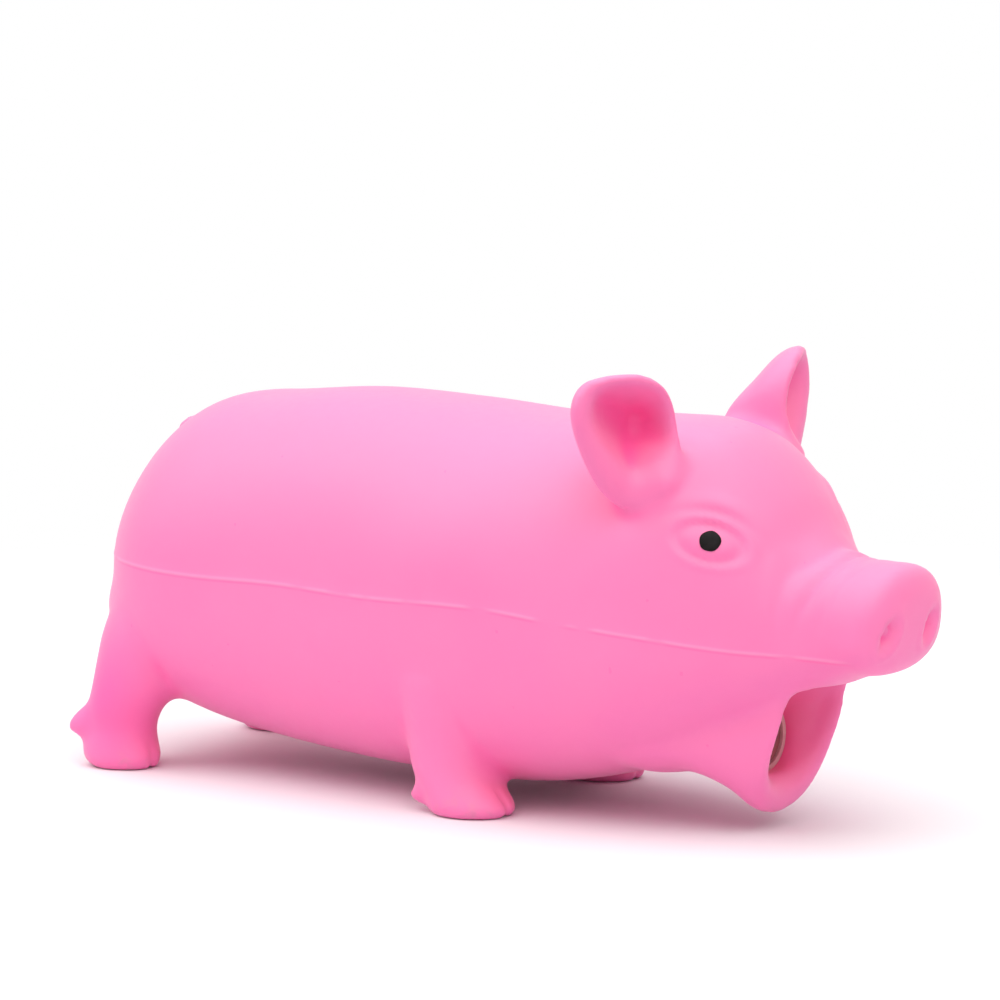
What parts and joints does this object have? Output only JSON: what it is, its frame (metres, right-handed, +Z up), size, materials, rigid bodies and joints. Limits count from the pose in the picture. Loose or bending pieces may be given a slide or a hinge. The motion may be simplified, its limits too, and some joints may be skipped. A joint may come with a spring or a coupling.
{
  "type": "squeaky pig toy",
  "caption": "Hollow pink rubber pig that grunts when its back is pressed: soft skin with a mould seam, cupped ears, stub legs and an open scoop mouth round a reed grunter.",
  "frame": {"origin": "centre of the outline on the ground, under the belly", "axes": "+X to the snout, +Y to the pig's left, +Z up"},
  "size_m": [0.219, 0.0942, 0.1076],
  "materials": {
    "pink_rubber": "matte moulded latex",
    "black_paint": "painted dot",
    "pale_plastic": "moulded",
    "brown_plastic": "moulded",
    "reed_brass": "rolled strip"
  },
  "bodies": {
    "belly": {"lower_skin": "pink_rubber", "head_skin": "pink_rubber", "snout": "pink_rubber", "lower_jaw": "pink_rubber", "leg_front_left": "pink_rubber", "leg_front_right": "pink_rubber", "leg_rear_left": "pink_rubber", "leg_rear_right": "pink_rubber", "eye_left": "black_paint", "eye_right": "black_paint", "grunter_barrel": "pale_plastic", "grunter_face": "brown_plastic", "grunter_cap": "pale_plastic", "reed_tube": "pale_plastic", "reed_collar": "brown_plastic"},
    "back": {"torso_back": "pink_rubber", "tail": "pink_rubber"},
    "left_ear": {"ear_left": "pink_rubber"},
    "right_ear": {"ear_right": "pink_rubber"},
    "reed_strip": {"reed": "reed_brass"}
  },
  "joints": [
    {"name": "squeeze", "type": "slide", "parent": "belly", "child": "back", "axis": [0, 0, -1], "range_m": [0, 0.012], "stiffness_N_per_m": 600, "springref_m": -0.003, "deforming": ["torso_back"]},
    {"name": "ear_left_flex", "type": "hinge", "parent": "belly", "child": "left_ear", "pos_m": [0.0585, 0.024, 0.086], "axis": [0, 0.92, -0.392], "range_deg": [-25, 25], "stiffness_Nm_per_rad": 0.03, "deforming": ["ear_left"]},
    {"name": "ear_right_flex", "type": "hinge", "parent": "belly", "child": "right_ear", "pos_m": [0.0585, -0.024, 0.086], "axis": [0, 0.92, 0.392], "range_deg": [-25, 25], "stiffness_Nm_per_rad": 0.03, "deforming": ["ear_right"]},
    {"name": "reed_flex", "type": "hinge", "parent": "belly", "child": "reed_strip", "pos_m": [0.0557, 0, 0.02238], "axis": [0, 1, 0], "range_deg": [-3, 3], "stiffness_Nm_per_rad": 0.02}
  ]
}
